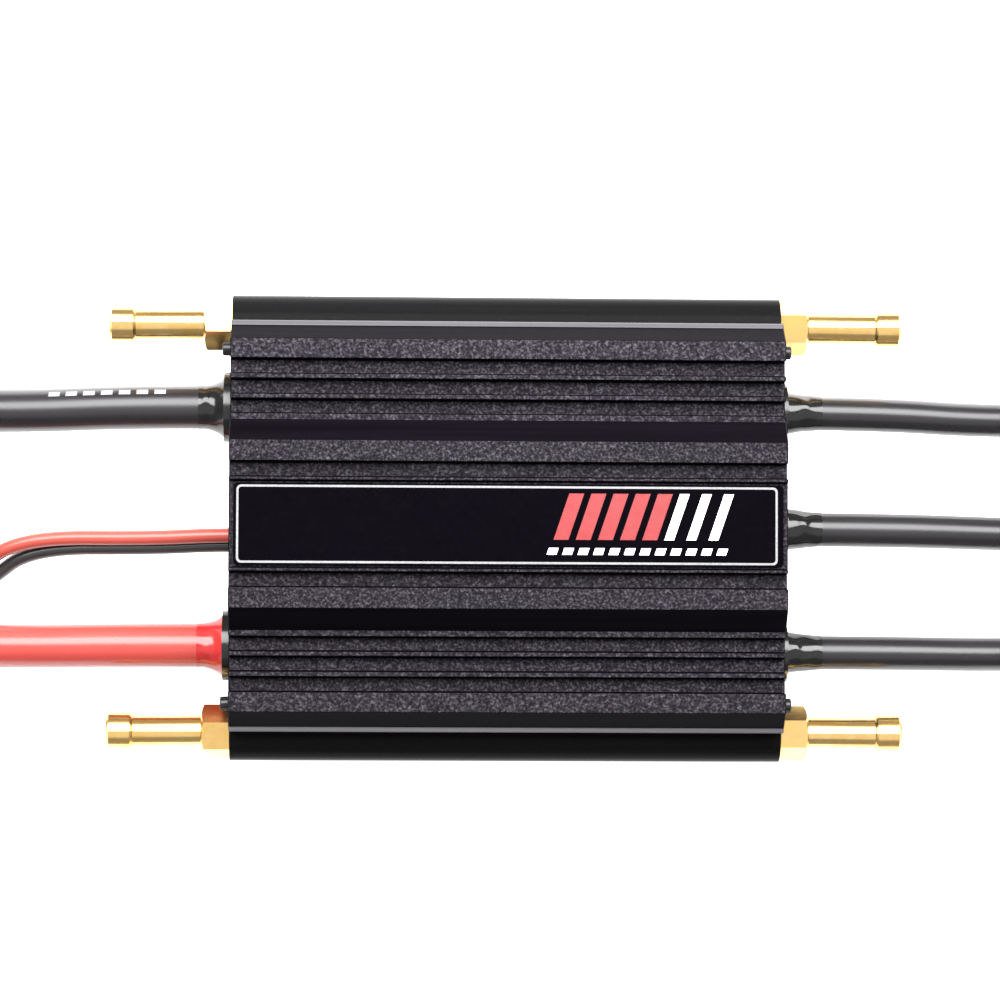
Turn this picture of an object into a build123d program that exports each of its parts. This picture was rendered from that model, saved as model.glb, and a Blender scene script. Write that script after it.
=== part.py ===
from build123d import *
import math
import os

# Water-cooled brushless speed controller for a model boat.
# Frame: origin at the centre of the flat underside, +X towards the motor wires, +Z up. Millimetres.

# Case ------------------------------------------------------------------------------------------
CASE_LENGTH = 58.0
END_X = CASE_LENGTH / 2
SIDE_Y = 21.5            # outer face of both case halves
SPLIT_Z = 10.6           # where the finned half sits on the base half
FLOOR_Z = 2.0            # inside floor of the base half
CEILING_Z = 13.0         # inside ceiling of the finned half
CAVITY_Y = 16.0
BASE_CHAMFER = 0.6

# Cooling rails on both long sides
RAIL_Y = 21.55
RAIL_Z = 8.4
RAIL_R = 3.05
CHANNEL_R = 1.6
THREAD_HOLE_R = 2.05
THREAD_DEPTH = 6.5
SEAL_SEAT_R = 2.72
SEAL_SEAT_DEPTH = 0.9
RAIL_CLEARANCE = 0.03

# Fin profile: half widths measured from the centre line, and heights
TOP_Z = 18.0
LABEL_FLOOR_Z = 17.5
DEEP_GROOVE_Z = 16.8
FIN_Z = 16.0
GROOVE_Z = 14.8
STEP_Z = 13.8
LEDGE_Y = 21.03          # inner edge of the narrow flat along both long edges
LABEL_HALF = 4.52
INNER_RIB = 4.93
PLATEAU = (6.50, 8.66)
FINS = [(10.97, 11.62), (13.10, 13.66), (15.20, 15.78)]
SHOULDER = (17.32, 19.40)
EDGE_ROUND = 0.15
GROOVE_ROUND = 0.2
END_BEVEL = 0.1

# Heat pedestal that reaches down from the finned half to the transistors
PEDESTAL = (21.0, 26.0)
PEDESTAL_X = 6.5
PEDESTAL_Z = 8.1

# End plates, let into both ends of the case
PLATE = 1.5
PLATE_GAP = 0.05
PLATE_Y = 20.5
PLATE_BOTTOM = 1.2
PLATE_TOP = 14.0
PLATE_CORNER = 0.6
PLATE_RAIL_NOTCH = 3.35
SCREWS = [(19.6, 3.3), (18.6, 12.0)]  # distance from the centre line and height
SCREW_R = 0.45
SCREW_HOLE_R = 0.5
SCREW_LENGTH = 6.0
HEAD_R = 0.74
HEAD_H = 0.95
HEAD_ROUND = 0.2
SOCKET_AF = 0.7
SOCKET_DEPTH = 0.5

# Hose nozzles: lengths along the axis, outward from the end of the rail
STUB_R = 2.0
STUB_LENGTH = 5.5
HEX_AF = 5.0
HEX_LENGTH = 3.0
SHANK_R = 1.65
SHANK_LENGTH = 7.2
BARB_R = 1.95
BARB_LENGTH = 2.8
BARB_EDGE = 0.28
NOZZLE_BORE_R = 1.05
HEX_CHAMFER = 0.3
HEX_TURNS = {(-1, 1): -9.7, (1, 1): 6.8, (-1, -1): 10.9, (1, -1): 1.5}
SEAL_THICKNESS = 0.85
SEAL_OUTER_R = 2.68

# Label plate in the recess on top
LABEL = (57.0, 8.5, 0.3)
LABEL_CORNER = 0.5

# Wires: radius, and where each leaves the case
WIRE_Z = 7.8
BATTERY_R = 2.3
BATTERY_Y = {"negative": 12.75, "positive": -12.5}
MOTOR_R = 1.8
MOTOR_Y = {"a": 12.5, "b": 0.1, "c": -13.0}
LEAD_R = 0.775
LEAD_YZ = {"positive": (-0.85, 7.9), "negative": (-1.8, 6.63)}

# Grommets and the sealant cones round the wires
FLANGE = 0.85
INNER_FLANGE = 0.6
BATTERY_NECK_R = 2.85
BATTERY_FLANGE_R = 3.7
MOTOR_NECK_R = 2.4
MOTOR_FLANGE_R = 3.1
LEAD_GROMMET_R = 2.2
INNER_LIP = 0.35                     # how far a grommet's inner flange overlaps its hole
BATTERY_CONE = (2.7, 3.25, 2.5)      # length, radius at the grommet, radius at the wire
MOTOR_CONE = (3.75, 2.2, 1.9)
WIRE_START = END_X - PLATE - INNER_FLANGE

# Boards and what they carry
CONTROL_BOARD = (28.0, 22.0, 1.0)
CONTROL_X = 6.0
SPACER_H = 0.6
SPACER_R = 1.2
POWER_BOARD = (38.0, 31.0, 1.6)
POWER_X = 7.0
PILLAR_R = 1.6
BOARD_Z = 4.9
BOARD_TOP = BOARD_Z + POWER_BOARD[2]
CONTROL_TOP = FLOOR_Z + SPACER_H + CONTROL_BOARD[2]
PILLARS = [(-10.3, 9.95), (-10.3, -9.95), (24.3, 6.5), (24.3, -6.5)]
BOARD_SCREW_R = 0.8
BOARD_SCREW_HEAD = (1.4, 0.8)
MOSFET = (6.0, 5.0, 1.0)
MOSFET_PITCH = (7.0, 6.4)
MOSFET_GRID = (3, 4)
PAD = (21.0, 25.0, 0.6)
DRIVER = (4.0, 4.0, 0.85)
PROCESSOR = (7.0, 7.0, 0.9)
CAPACITOR_R = 3.5
CAPACITOR_LENGTH = 12.6
CAPACITOR_Y = 6.7
CAPACITOR_Z = 5.7
CAPACITOR_LEADS = (0.3, 2.4, 2.6)    # radius, spacing, length
INDUCTOR = (6.0, 6.0, 3.0)
REGULATOR = (4.9, 3.9, 1.5)
HEADER = (2.5, 9.0)
BUSBAR = (27.0, 1.2, 1.2)
BUSBAR_Y = 14.8
TERMINAL = (3.0, 5.0, 2.6)
BATTERY_CONDUCTOR_R = 1.3
MOTOR_CONDUCTOR_R = 1.05
LEAD_CONDUCTOR_R = 0.4

# Wire routes beyond the case. Each list is a line of hand-picked corners.
BATTERY_ROUTES = {
    "negative": [
        (-WIRE_START, 12.75, 7.8), (-38.5, 12.75, 7.8), (-51, 12.3, 6.1), (-65, 12.6, 3.2),
        (-79, 12.95, 2.3), (-92, 12.6, 2.3), (-105, 12.6, 2.3),
    ],
    "positive": [
        (-WIRE_START, -12.5, 7.8), (-39, -12.5, 7.8), (-52, -12.7, 5.9), (-66, -12.5, 3.0),
        (-80, -12.95, 2.3), (-93, -12.7, 2.3), (-105, -12.7, 2.3),
    ],
}
MOTOR_ROUTES = {
    "a": [
        (WIRE_START, 12.5, 7.8), (39.2, 12.5, 7.8), (52, 11.9, 5.6), (66, 12.5, 2.3),
        (78, 13.2, 2.6), (88, 13.2, 2.6),
    ],
    "b": [
        (WIRE_START, 0.1, 7.8), (39.5, 0.1, 7.8), (53, -0.15, 5.4), (67, -0.4, 2.2),
        (79, -0.2, 2.6), (89, -0.2, 2.6),
    ],
    "c": [
        (WIRE_START, -13.0, 7.8), (39.2, -13.0, 7.8), (52.5, -13.15, 5.5), (66, -12.8, 2.3),
        (77.5, -12.95, 2.6), (87, -12.95, 2.6),
    ],
}
COIL_X = -70.0
COIL_R = 8.0                       # middle of the two turns lying side by side
LEAD_PITCH = 2 * LEAD_R + 0.05
COIL_INNER_R = COIL_R - LEAD_PITCH
COIL_OUTER_R = COIL_R + LEAD_PITCH
COIL_Z = 0.4                       # the tie under the coil lifts it this far
COIL_STUB = 7.0
LEAD_IN_Z = COIL_Z + LEAD_R
LEAD_OUT_Z = LEAD_IN_Z + 2 * LEAD_PITCH
NEAR_Y = -COIL_R + LEAD_PITCH / 2
FAR_Y = -COIL_R - LEAD_PITCH / 2
LEAD_IN = {
    "positive": [
        (-WIRE_START, -0.85, 7.9), (-31, -0.85, 7.9), (-37.5, -1.2, 7.7), (-51, -1.1, 5.6),
        (-56.5, -4.2, 2.9), (-60, NEAR_Y, LEAD_IN_Z), (COIL_X + COIL_STUB, NEAR_Y, LEAD_IN_Z),
    ],
    "negative": [
        (-WIRE_START, -1.8, 6.63), (-31, -1.8, 6.63), (-37.5, -2.15, 6.4), (-50.3, -2.15, 4.3),
        (-55.2, -5.6, 1.6), (-59, FAR_Y, LEAD_IN_Z), (COIL_X + COIL_STUB, FAR_Y, LEAD_IN_Z),
    ],
}
PLUG = (13.5, 7.6, 2.5)
PLUG_X = -92.0
PLUG_Y = -6.0
PLUG_PITCH = 2.54
LEAD_OUT = {
    "positive": [
        (COIL_X - COIL_STUB, FAR_Y, LEAD_OUT_Z), (-81, FAR_Y, LEAD_OUT_Z),
        (-87, PLUG_Y - PLUG_PITCH, PLUG[2] / 2), (PLUG_X, PLUG_Y - PLUG_PITCH, PLUG[2] / 2),
    ],
    "negative": [
        (COIL_X - COIL_STUB, NEAR_Y, LEAD_OUT_Z), (-81, NEAR_Y, LEAD_OUT_Z),
        (-87, PLUG_Y, PLUG[2] / 2), (PLUG_X, PLUG_Y, PLUG[2] / 2),
    ],
}
TIE_WIDTH = 3.0
TIE_THICK = 0.4

# Ends of the wires
TIP_LENGTH = 6.0
TIP_R = 1.4
CONNECTOR_R = 2.25
CONNECTOR_LENGTH = 14.0
CONNECTOR_BORE_R = 1.75
CONNECTOR_BORE = 8.0
SLEEVE_WALL = 0.35
SLEEVE_LENGTH = 11.0
SLEEVE_TAIL = 4.0

SIDES = (1, -1)


# Helpers -----------------------------------------------------------------------------------------
def save(name, shape):
    """Writes one sub-part."""
    shape.label = name
    export_step(shape, f"parts/{name}.step")


def group(solids):
    """Several separate solids as one sub-part."""
    return Compound(children=list(solids))


def block(size, x=0.0, y=0.0, z=0.0):
    """A box standing on height z, centred on x and y."""
    on_z = (Align.CENTER, Align.CENTER, Align.MIN)
    return Pos(x, y, z) * Box(*size, align=on_z)


def rod(radius, x0, x1, y=0.0, z=0.0):
    """A round bar along X from x0 to x1."""
    disc = Plane((x0, y, z), x_dir=(0, 1, 0), z_dir=(1, 0, 0)) * Circle(radius)
    return extrude(disc, amount=x1 - x0, dir=(1, 0, 0))


def prism(face, x0, x1):
    """A section drawn in Y and Z, run along X from x0 to x1."""
    return extrude(Pos(x0, 0, 0) * face, amount=x1 - x0, dir=(1, 0, 0))


def yz_outline(points):
    """A closed outline in Y and Z."""
    corners = [(0, y, z) for y, z in points]
    return make_face(Polyline(*corners, close=True))


def both_sides(half):
    """The half outline, listed from the centre line outwards, with its mirror image."""
    return half + [(-y, z) for y, z in reversed(half)]


def turned(profile, x, y, z, outward):
    """Turns a profile of (distance outward, radius) points about an axis along X."""
    corners = [(outward * d, 0, r) for d, r in profile]
    body = revolve(make_face(Polyline(*corners, close=True)), axis=Axis.X)
    return Pos(x, y, z) * body


def hex_bar(across_flats, length, x, y, z, turn):
    """A hexagonal bar along X, starting at x."""
    shape = RegularPolygon(across_flats / 2, 6, major_radius=False, rotation=turn)
    return extrude(Plane((x, y, z), x_dir=(0, 1, 0), z_dir=(1, 0, 0)) * shape, amount=length,
                   dir=(1, 0, 0))


def corner_radii(points):
    """The largest bend that both runs beside each corner leave room for."""
    radii = []
    for before, here, after in zip(points, points[1:], points[2:]):
        run_in = Vector(here) - Vector(before)
        run_out = Vector(after) - Vector(here)
        turn = math.radians(run_in.get_angle(run_out))
        radii.append(0.45 * min(run_in.length, run_out.length) / math.tan(turn / 2))
    return radii


def tube(name, points, radius):
    """A wire along straight runs joined by tangent arcs."""
    radii = corner_radii(points)
    path = FilletPolyline(*points, radius=radii)
    section = Plane(origin=path @ 0, z_dir=path % 0) * Circle(radius)
    wire = sweep(section, path=path)
    volume = math.pi * radius**2 * path.length
    print(f"{name}: length {path.length:.1f}, least radius {min(radii):.1f}, "
          f"volume ratio {wire.volume / volume:.4f}")
    return wire


# Case --------------------------------------------------------------------------------------------
def plate_outline(margin=0.0):
    """Outline of an end plate, or of the pocket that it drops into."""
    edge = PLATE_Y + margin
    outline = yz_outline(both_sides([
        (edge, PLATE_BOTTOM - margin),
        (edge, PLATE_TOP + margin - PLATE_CORNER),
        (edge - PLATE_CORNER, PLATE_TOP + margin),
    ]))
    for side in SIDES:
        notch = Plane((0, side * RAIL_Y, RAIL_Z), x_dir=(0, 1, 0), z_dir=(1, 0, 0))
        outline -= notch * Circle(PLATE_RAIL_NOTCH - margin)
    return outline


def plate_pockets():
    """The recess for an end plate at each end of the case."""
    outline = plate_outline(PLATE_GAP)
    depth = PLATE + PLATE_GAP
    return [prism(outline, END_X - depth, END_X + 1), prism(outline, -END_X - 1, -END_X + depth)]


def screw_spots():
    """Where the end plate screws sit: the end, and the place across and up."""
    return [(end, side * y, z) for end in SIDES for side in SIDES for y, z in SCREWS]


def screw_holes(row):
    """Tapped holes for one row of end plate screws."""
    offset, z = SCREWS[row]
    depth = SCREW_LENGTH + 1
    for end in SIDES:
        for side in SIDES:
            yield rod(SCREW_HOLE_R, end * END_X, end * (END_X - depth), side * offset, z)


def fin_half_profile():
    """Top of the finned half, from the centre line out to the split."""
    points = [
        (LABEL_HALF, LABEL_FLOOR_Z), (LABEL_HALF, TOP_Z), (INNER_RIB, TOP_Z),
        (INNER_RIB, DEEP_GROOVE_Z), (PLATEAU[0], DEEP_GROOVE_Z), (PLATEAU[0], TOP_Z),
        (PLATEAU[1], TOP_Z),
    ]
    for inner, outer in FINS:
        if inner != FINS[0][0]:
            points.append((inner, GROOVE_Z))
        points += [(inner, FIN_Z), (outer, FIN_Z), (outer, GROOVE_Z)]
    points += [(SHOULDER[0], GROOVE_Z), (SHOULDER[0], FIN_Z), (SHOULDER[1], FIN_Z)]
    return points + [(LEDGE_Y, STEP_Z), (SIDE_Y, STEP_Z), (SIDE_Y, SPLIT_Z)]


def upper_case():
    """The finned half: extruded, then hollowed from below, with a pedestal for the transistors."""
    profile = yz_outline(both_sides(fin_half_profile()))
    floors = (LABEL_FLOOR_Z, DEEP_GROOVE_Z, GROOVE_Z)
    corners = profile.vertices().filter_by(lambda v: v.Z > SPLIT_Z + 0.1)
    outer = corners.filter_by(lambda v: not any(abs(v.Z - z) < 0.01 for z in floors))
    profile = fillet(outer, EDGE_ROUND)
    inner = profile.vertices().filter_by(lambda v: any(abs(v.Z - z) < 0.01 for z in floors))
    profile = fillet(inner, GROOVE_ROUND)
    body = prism(profile, -END_X, END_X)
    ends = body.faces().filter_by(Axis.X)
    body = chamfer(ends.edges(), END_BEVEL)
    cavity = (CASE_LENGTH + 2, 2 * CAVITY_Y, CEILING_Z - SPLIT_Z + 1)
    body -= block(cavity, z=SPLIT_Z - 1)
    for side in SIDES:
        body -= rod(RAIL_R + RAIL_CLEARANCE, -END_X - 1, END_X + 1, side * RAIL_Y, RAIL_Z)
    for pocket in plate_pockets():
        body -= pocket
    for hole in screw_holes(1):
        body -= hole
    height = CEILING_Z + 0.5 - PEDESTAL_Z
    return body + block((*PEDESTAL, height), x=PEDESTAL_X, z=PEDESTAL_Z)


def lower_case():
    """The base half: floor, side walls and the two bored cooling rails."""
    section = yz_outline(both_sides([
        (SIDE_Y - BASE_CHAMFER, 0), (SIDE_Y, BASE_CHAMFER), (SIDE_Y, SPLIT_Z),
        (CAVITY_Y, SPLIT_Z), (CAVITY_Y, FLOOR_Z),
    ]))
    body = prism(section, -END_X, END_X)
    for side in SIDES:
        body += rod(RAIL_R, -END_X, END_X, side * RAIL_Y, RAIL_Z)
    for side in SIDES:
        body -= rod(CHANNEL_R, -END_X - 1, END_X + 1, side * RAIL_Y, RAIL_Z)
        for end in SIDES:
            body -= rod(THREAD_HOLE_R, end * END_X, end * (END_X - THREAD_DEPTH),
                        side * RAIL_Y, RAIL_Z)
            body -= rod(SEAL_SEAT_R, end * END_X, end * (END_X - SEAL_SEAT_DEPTH),
                        side * RAIL_Y, RAIL_Z)
    for pocket in plate_pockets():
        body -= pocket
    for hole in screw_holes(0):
        body -= hole
    for x, y in PILLARS:
        body += pillar(x, y)
    return body


def pillar(x, y):
    """A tapped pillar under the power board."""
    height = BOARD_Z - FLOOR_Z
    middle = Pos(x, y, FLOOR_Z + height / 2)
    return middle * Cylinder(PILLAR_R, height) - middle * Cylinder(BOARD_SCREW_R, height)


# Ends --------------------------------------------------------------------------------------------
def end_plate(end, holes):
    """A flush plate across one end of the case, with a hole for every wire."""
    plate = prism(plate_outline(), end * (END_X - PLATE), end * END_X)
    for y, z, radius in holes:
        plate -= rod(radius, end * (END_X - PLATE - 1), end * (END_X + 1), y, z)
    for _, y, z in (spot for spot in screw_spots() if spot[0] == end):
        plate -= rod(SCREW_HOLE_R, end * (END_X - PLATE - 1), end * (END_X + 1), y, z)
    return plate


def cap_screw(end, y, z):
    """A small socket head screw through an end plate."""
    head = rod(HEAD_R, end * END_X, end * (END_X + HEAD_H), y, z)
    rim = head.edges().filter_by(GeomType.CIRCLE).sort_by(Axis.X)[-1 if end > 0 else 0]
    head = fillet(rim, HEAD_ROUND)
    socket_x = END_X + HEAD_H - SOCKET_DEPTH if end > 0 else -END_X - HEAD_H
    head -= hex_bar(SOCKET_AF, SOCKET_DEPTH, socket_x, y, z, 0)
    return head + rod(SCREW_R, end * END_X, end * (END_X - SCREW_LENGTH), y, z)


def nozzle(end, side):
    """A hose nozzle: thread stub, hexagon, shank, raised lip and a bore right through."""
    tip = HEX_LENGTH + SHANK_LENGTH + BARB_LENGTH
    lip = HEX_LENGTH + SHANK_LENGTH
    profile = [
        (-STUB_LENGTH, NOZZLE_BORE_R), (-STUB_LENGTH, STUB_R - 0.3), (-STUB_LENGTH + 0.3, STUB_R),
        (0.2, STUB_R), (0.2, SHANK_R), (lip, SHANK_R), (lip + 0.1, BARB_R - 0.1),
        (lip + BARB_EDGE, BARB_R), (tip - BARB_EDGE, BARB_R), (tip, BARB_R - BARB_EDGE),
        (tip, NOZZLE_BORE_R),
    ]
    body = turned(profile, end * END_X, side * RAIL_Y, RAIL_Z, end)
    hex_x = END_X if end > 0 else -END_X - HEX_LENGTH
    nut = hex_bar(HEX_AF, HEX_LENGTH, hex_x, side * RAIL_Y, RAIL_Z, HEX_TURNS[(end, side)])
    corner_r = HEX_AF / math.sqrt(3)
    cone = [(0, 0), (0, corner_r), (HEX_LENGTH - HEX_CHAMFER, corner_r),
            (HEX_LENGTH, corner_r - 2 * HEX_CHAMFER), (HEX_LENGTH, 0)]
    nut = nut & turned(cone, end * END_X, side * RAIL_Y, RAIL_Z, end)
    nut -= rod(NOZZLE_BORE_R, -END_X - 20, END_X + 20, side * RAIL_Y, RAIL_Z)
    return body + nut


def o_ring(end, side):
    """The seal squeezed between a nozzle's hexagon and its rail."""
    seat = end * END_X
    ring = rod(SEAL_OUTER_R, seat, seat - end * SEAL_THICKNESS, side * RAIL_Y, RAIL_Z)
    return ring - rod(STUB_R + 0.02, seat, seat - end * SEAL_THICKNESS, side * RAIL_Y, RAIL_Z)


def grommet(end, y, z, neck_r, wires, flange_r=None):
    """A rubber bush clipped into an end plate, with or without a flange outside."""
    inner = END_X - PLATE
    bush = rod(neck_r, end * inner, end * END_X, y, z)
    bush += rod(neck_r + INNER_LIP, end * (inner - INNER_FLANGE), end * inner, y, z)
    if flange_r:
        bush += rod(flange_r, end * END_X, end * (END_X + FLANGE), y, z)
    for wire_y, wire_z, radius in wires:
        bush -= rod(radius, end * (inner - 2), end * (END_X + 2), wire_y, wire_z)
    return bush


def sealant_cone(end, y, wire_r, shape):
    """The flared collar of sealant where a wire leaves its grommet."""
    length, root_r, tip_r = shape
    start = END_X + FLANGE
    middle = (0.42 * length, tip_r + 0.22 * (root_r - tip_r))
    edge = Spline((0, 0, root_r), (end * middle[0], 0, middle[1]), (end * length, 0, tip_r))
    lines = [
        edge,
        Line((end * length, 0, tip_r), (end * length, 0, wire_r)),
        Line((end * length, 0, wire_r), (0, 0, wire_r)),
        Line((0, 0, wire_r), (0, 0, root_r)),
    ]
    return Pos(end * start, y, WIRE_Z) * revolve(make_face(lines), axis=Axis.X)


# Electronics -------------------------------------------------------------------------------------
def power_board():
    board = block(POWER_BOARD, x=POWER_X, z=BOARD_Z)
    for x, y in PILLARS:
        board -= Pos(x, y, BOARD_Z + POWER_BOARD[2] / 2) * Cylinder(BOARD_SCREW_R + 0.1, 4)
    return board


def board_screw(x, y):
    head_r, head_h = BOARD_SCREW_HEAD
    head = Pos(x, y, BOARD_TOP + head_h / 2) * Cylinder(head_r, head_h)
    shank = FLOOR_Z + 0.5
    length = BOARD_TOP - shank
    return head + Pos(x, y, shank + length / 2) * Cylinder(BOARD_SCREW_R, length)


def mosfets():
    columns, rows = MOSFET_GRID
    for column in range(columns):
        for row in range(rows):
            x = PEDESTAL_X + (column - (columns - 1) / 2) * MOSFET_PITCH[0]
            y = (row - (rows - 1) / 2) * MOSFET_PITCH[1]
            yield block(MOSFET, x=x, y=y, z=BOARD_TOP)


def capacitor(side):
    """An electrolytic can lying along X, with its two leads on the power board."""
    x0 = POWER_X - POWER_BOARD[0] / 2 - 1.4 - CAPACITOR_LENGTH
    x1 = x0 + CAPACITOR_LENGTH
    can = rod(CAPACITOR_R, x0, x1, side * CAPACITOR_Y, CAPACITOR_Z)
    lead_r, spacing, lead_length = CAPACITOR_LEADS
    for offset in (-spacing / 2, spacing / 2):
        can += rod(lead_r, x1, x1 + lead_length, side * CAPACITOR_Y + offset, BOARD_TOP + lead_r)
    return can


def control_spacers():
    for sx in SIDES:
        for sy in SIDES:
            x = CONTROL_X + sx * (CONTROL_BOARD[0] / 2 - 1.6)
            y = sy * (CONTROL_BOARD[1] / 2 - 1.6)
            yield Pos(x, y, FLOOR_Z + SPACER_H / 2) * Cylinder(SPACER_R, SPACER_H)


def conductor(end, y, z, radius, inner_x):
    """The bared end of a wire, inside the case."""
    return rod(radius, end * WIRE_START, end * inner_x, y, z)


# Wire ends ---------------------------------------------------------------------------------------
def wire_tip(end_point):
    """The tinned end of a battery wire."""
    x, y, z = end_point
    tip = rod(TIP_R, x, x - TIP_LENGTH, y, z)
    return fillet(tip.edges().filter_by(GeomType.CIRCLE).sort_by(Axis.X)[0], 0.4)


def bullet_connector(end_point):
    """A female bullet connector on a motor wire."""
    x, y, z = end_point
    far = x + CONNECTOR_LENGTH
    body = rod(CONNECTOR_R, x, far, y, z)
    return body - rod(CONNECTOR_BORE_R, far - CONNECTOR_BORE, far, y, z)


def shrink_sleeve(end_point):
    """Heat-shrink over the connector, necked down on to the wire."""
    x, y, z = end_point
    outer = CONNECTOR_R + SLEEVE_WALL
    tail = MOTOR_R + SLEEVE_WALL
    profile = [
        (-SLEEVE_TAIL, MOTOR_R), (-SLEEVE_TAIL, tail), (-0.8, tail), (0.4, outer),
        (SLEEVE_LENGTH, outer), (SLEEVE_LENGTH, CONNECTOR_R), (0, CONNECTOR_R), (0, MOTOR_R),
    ]
    return turned(profile, x, y, z, 1)


def lead_coil():
    """Outer shape of the coiled part of the receiver lead: two layers, and a third half way."""
    layer = COIL_OUTER_R - COIL_INNER_R
    height = 2 * LEAD_PITCH
    centre = Pos(COIL_X, 0, COIL_Z)
    up = (Align.CENTER, Align.CENTER, Align.MIN)
    coil = Cylinder(COIL_OUTER_R, height, align=up) - Cylinder(COIL_INNER_R, height, align=up)
    half = Cylinder(COIL_OUTER_R, LEAD_PITCH, align=up)
    half -= Cylinder(COIL_INNER_R, LEAD_PITCH, align=up)
    half &= block((COIL_OUTER_R, 3 * COIL_OUTER_R, LEAD_PITCH), x=COIL_OUTER_R / 2)
    coil += Pos(0, 0, height) * half
    coil += block((COIL_STUB, layer, 2 * LEAD_R), x=COIL_STUB / 2, y=-COIL_R)
    coil += block((COIL_STUB, layer, LEAD_PITCH), x=-COIL_STUB / 2, y=-COIL_R, z=height)
    return centre * coil


def coil_tie():
    """A strap round the coil, opposite the case."""
    size = COIL_OUTER_R - COIL_INNER_R + 2 * TIE_THICK
    height = 2 * LEAD_PITCH + 2 * TIE_THICK
    x = COIL_X - COIL_R
    strap = block((size, TIE_WIDTH, height), x=x)
    return strap - lead_coil()


def lead_plug():
    """A flat three-way receiver plug with open contact slots."""
    plug = block(PLUG, x=PLUG_X - PLUG[0] / 2, y=PLUG_Y)
    for way in (-1, 0, 1):
        slot = block((4.0, 1.3, 0.5), x=PLUG_X - 4.5, y=PLUG_Y + way * PLUG_PITCH, z=PLUG[2] - 0.5)
        socket = block((5.0, 0.8, 0.8), x=PLUG_X - PLUG[0] + 2.5, y=PLUG_Y + way * PLUG_PITCH,
                       z=PLUG[2] / 2 - 0.4)
        plug -= slot
        plug -= socket
    return plug


# Build -------------------------------------------------------------------------------------------
os.makedirs("parts", exist_ok=True)

save("upper_case", upper_case())
save("lower_case", lower_case())

battery_holes = [(y, WIRE_Z, BATTERY_NECK_R) for y in BATTERY_Y.values()]
lead_y = sum(y for y, z in LEAD_YZ.values()) / 2
lead_z = sum(z for y, z in LEAD_YZ.values()) / 2
save("battery_end_plate", end_plate(-1, battery_holes + [(lead_y, lead_z, LEAD_GROMMET_R)]))
save("motor_end_plate", end_plate(1, [(y, WIRE_Z, MOTOR_NECK_R) for y in MOTOR_Y.values()]))
for end, name in ((-1, "battery"), (1, "motor")):
    spots = [spot for spot in screw_spots() if spot[0] == end]
    save(f"{name}_end_screws", group(cap_screw(*spot) for spot in spots))

corners = {"battery_left": (-1, -1), "battery_right": (-1, 1), "motor_left": (1, 1),
           "motor_right": (1, -1)}
for name, (end, side) in corners.items():
    save(f"nozzle_{name}", nozzle(end, side))
save("nozzle_seals", group(o_ring(end, side) for end, side in corners.values()))

label = extrude(RectangleRounded(LABEL[0], LABEL[1], LABEL_CORNER), amount=LABEL[2])
save("label_plate", Pos(0, 0, LABEL_FLOOR_Z) * label)

save("battery_grommets", group(
    grommet(-1, y, WIRE_Z, BATTERY_NECK_R, [(y, WIRE_Z, BATTERY_R)], BATTERY_FLANGE_R)
    for y in BATTERY_Y.values()))
save("motor_grommets", group(
    grommet(1, y, WIRE_Z, MOTOR_NECK_R, [(y, WIRE_Z, MOTOR_R)], MOTOR_FLANGE_R)
    for y in MOTOR_Y.values()))
lead_wires = [(y, z, LEAD_R) for y, z in LEAD_YZ.values()]
save("lead_grommet", grommet(-1, lead_y, lead_z, LEAD_GROMMET_R, lead_wires))

for pole, y in BATTERY_Y.items():
    route = BATTERY_ROUTES[pole]
    save(f"battery_{pole}_seal", sealant_cone(-1, y, BATTERY_R, BATTERY_CONE))
    save(f"battery_{pole}_wire", tube(f"battery {pole}", route, BATTERY_R))
    save(f"battery_{pole}_tip", wire_tip(route[-1]))
for phase, y in MOTOR_Y.items():
    route = MOTOR_ROUTES[phase]
    save(f"motor_{phase}_seal", sealant_cone(1, y, MOTOR_R, MOTOR_CONE))
    save(f"motor_{phase}_wire", tube(f"motor {phase}", route, MOTOR_R))
    save(f"motor_{phase}_connector", bullet_connector(route[-1]))
    save(f"motor_{phase}_sleeve", shrink_sleeve(route[-1]))
for pole in LEAD_YZ:
    runs = [tube(f"lead {pole} in", LEAD_IN[pole], LEAD_R),
            tube(f"lead {pole} out", LEAD_OUT[pole], LEAD_R)]
    save(f"lead_{pole}_wire", group(runs))
save("lead_coil", lead_coil())
save("lead_tie", coil_tie())
save("lead_plug", lead_plug())

save("power_board", power_board())
save("board_screws", group(board_screw(x, y) for x, y in PILLARS))
save("control_board", block(CONTROL_BOARD, x=CONTROL_X, z=FLOOR_Z + SPACER_H))
save("control_board_spacers", group(control_spacers()))
save("mosfets", group(mosfets()))
save("thermal_pad", block(PAD, x=PEDESTAL_X, z=BOARD_TOP + MOSFET[2]))
driver_x = CONTROL_X + 6.0
save("gate_drivers", group(block(DRIVER, x=driver_x, y=y, z=CONTROL_TOP) for y in (-7, 0, 7)))
save("processor", block(PROCESSOR, x=CONTROL_X - 2.5, z=CONTROL_TOP))
save("bus_capacitors", group(capacitor(side) for side in SIDES))
board_edge = POWER_X - POWER_BOARD[0] / 2
save("bec_inductor", block(INDUCTOR, x=board_edge + 4.6, y=5.4, z=BOARD_TOP))
save("bec_regulator", block(REGULATOR, x=board_edge + 5.0, y=-6.4, z=BOARD_TOP))
save("board_header", block((*HEADER, BOARD_Z - CONTROL_TOP), x=CONTROL_X - 11.0, z=CONTROL_TOP))
for side, pole in zip(SIDES, BATTERY_Y):
    bar = block(BUSBAR, x=PEDESTAL_X - 3.0, y=side * BUSBAR_Y, z=BOARD_TOP)
    save(f"{pole}_busbar", bar)
save("lead_terminal", block(TERMINAL, x=board_edge + 1.5, y=lead_y, z=BOARD_TOP))

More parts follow.
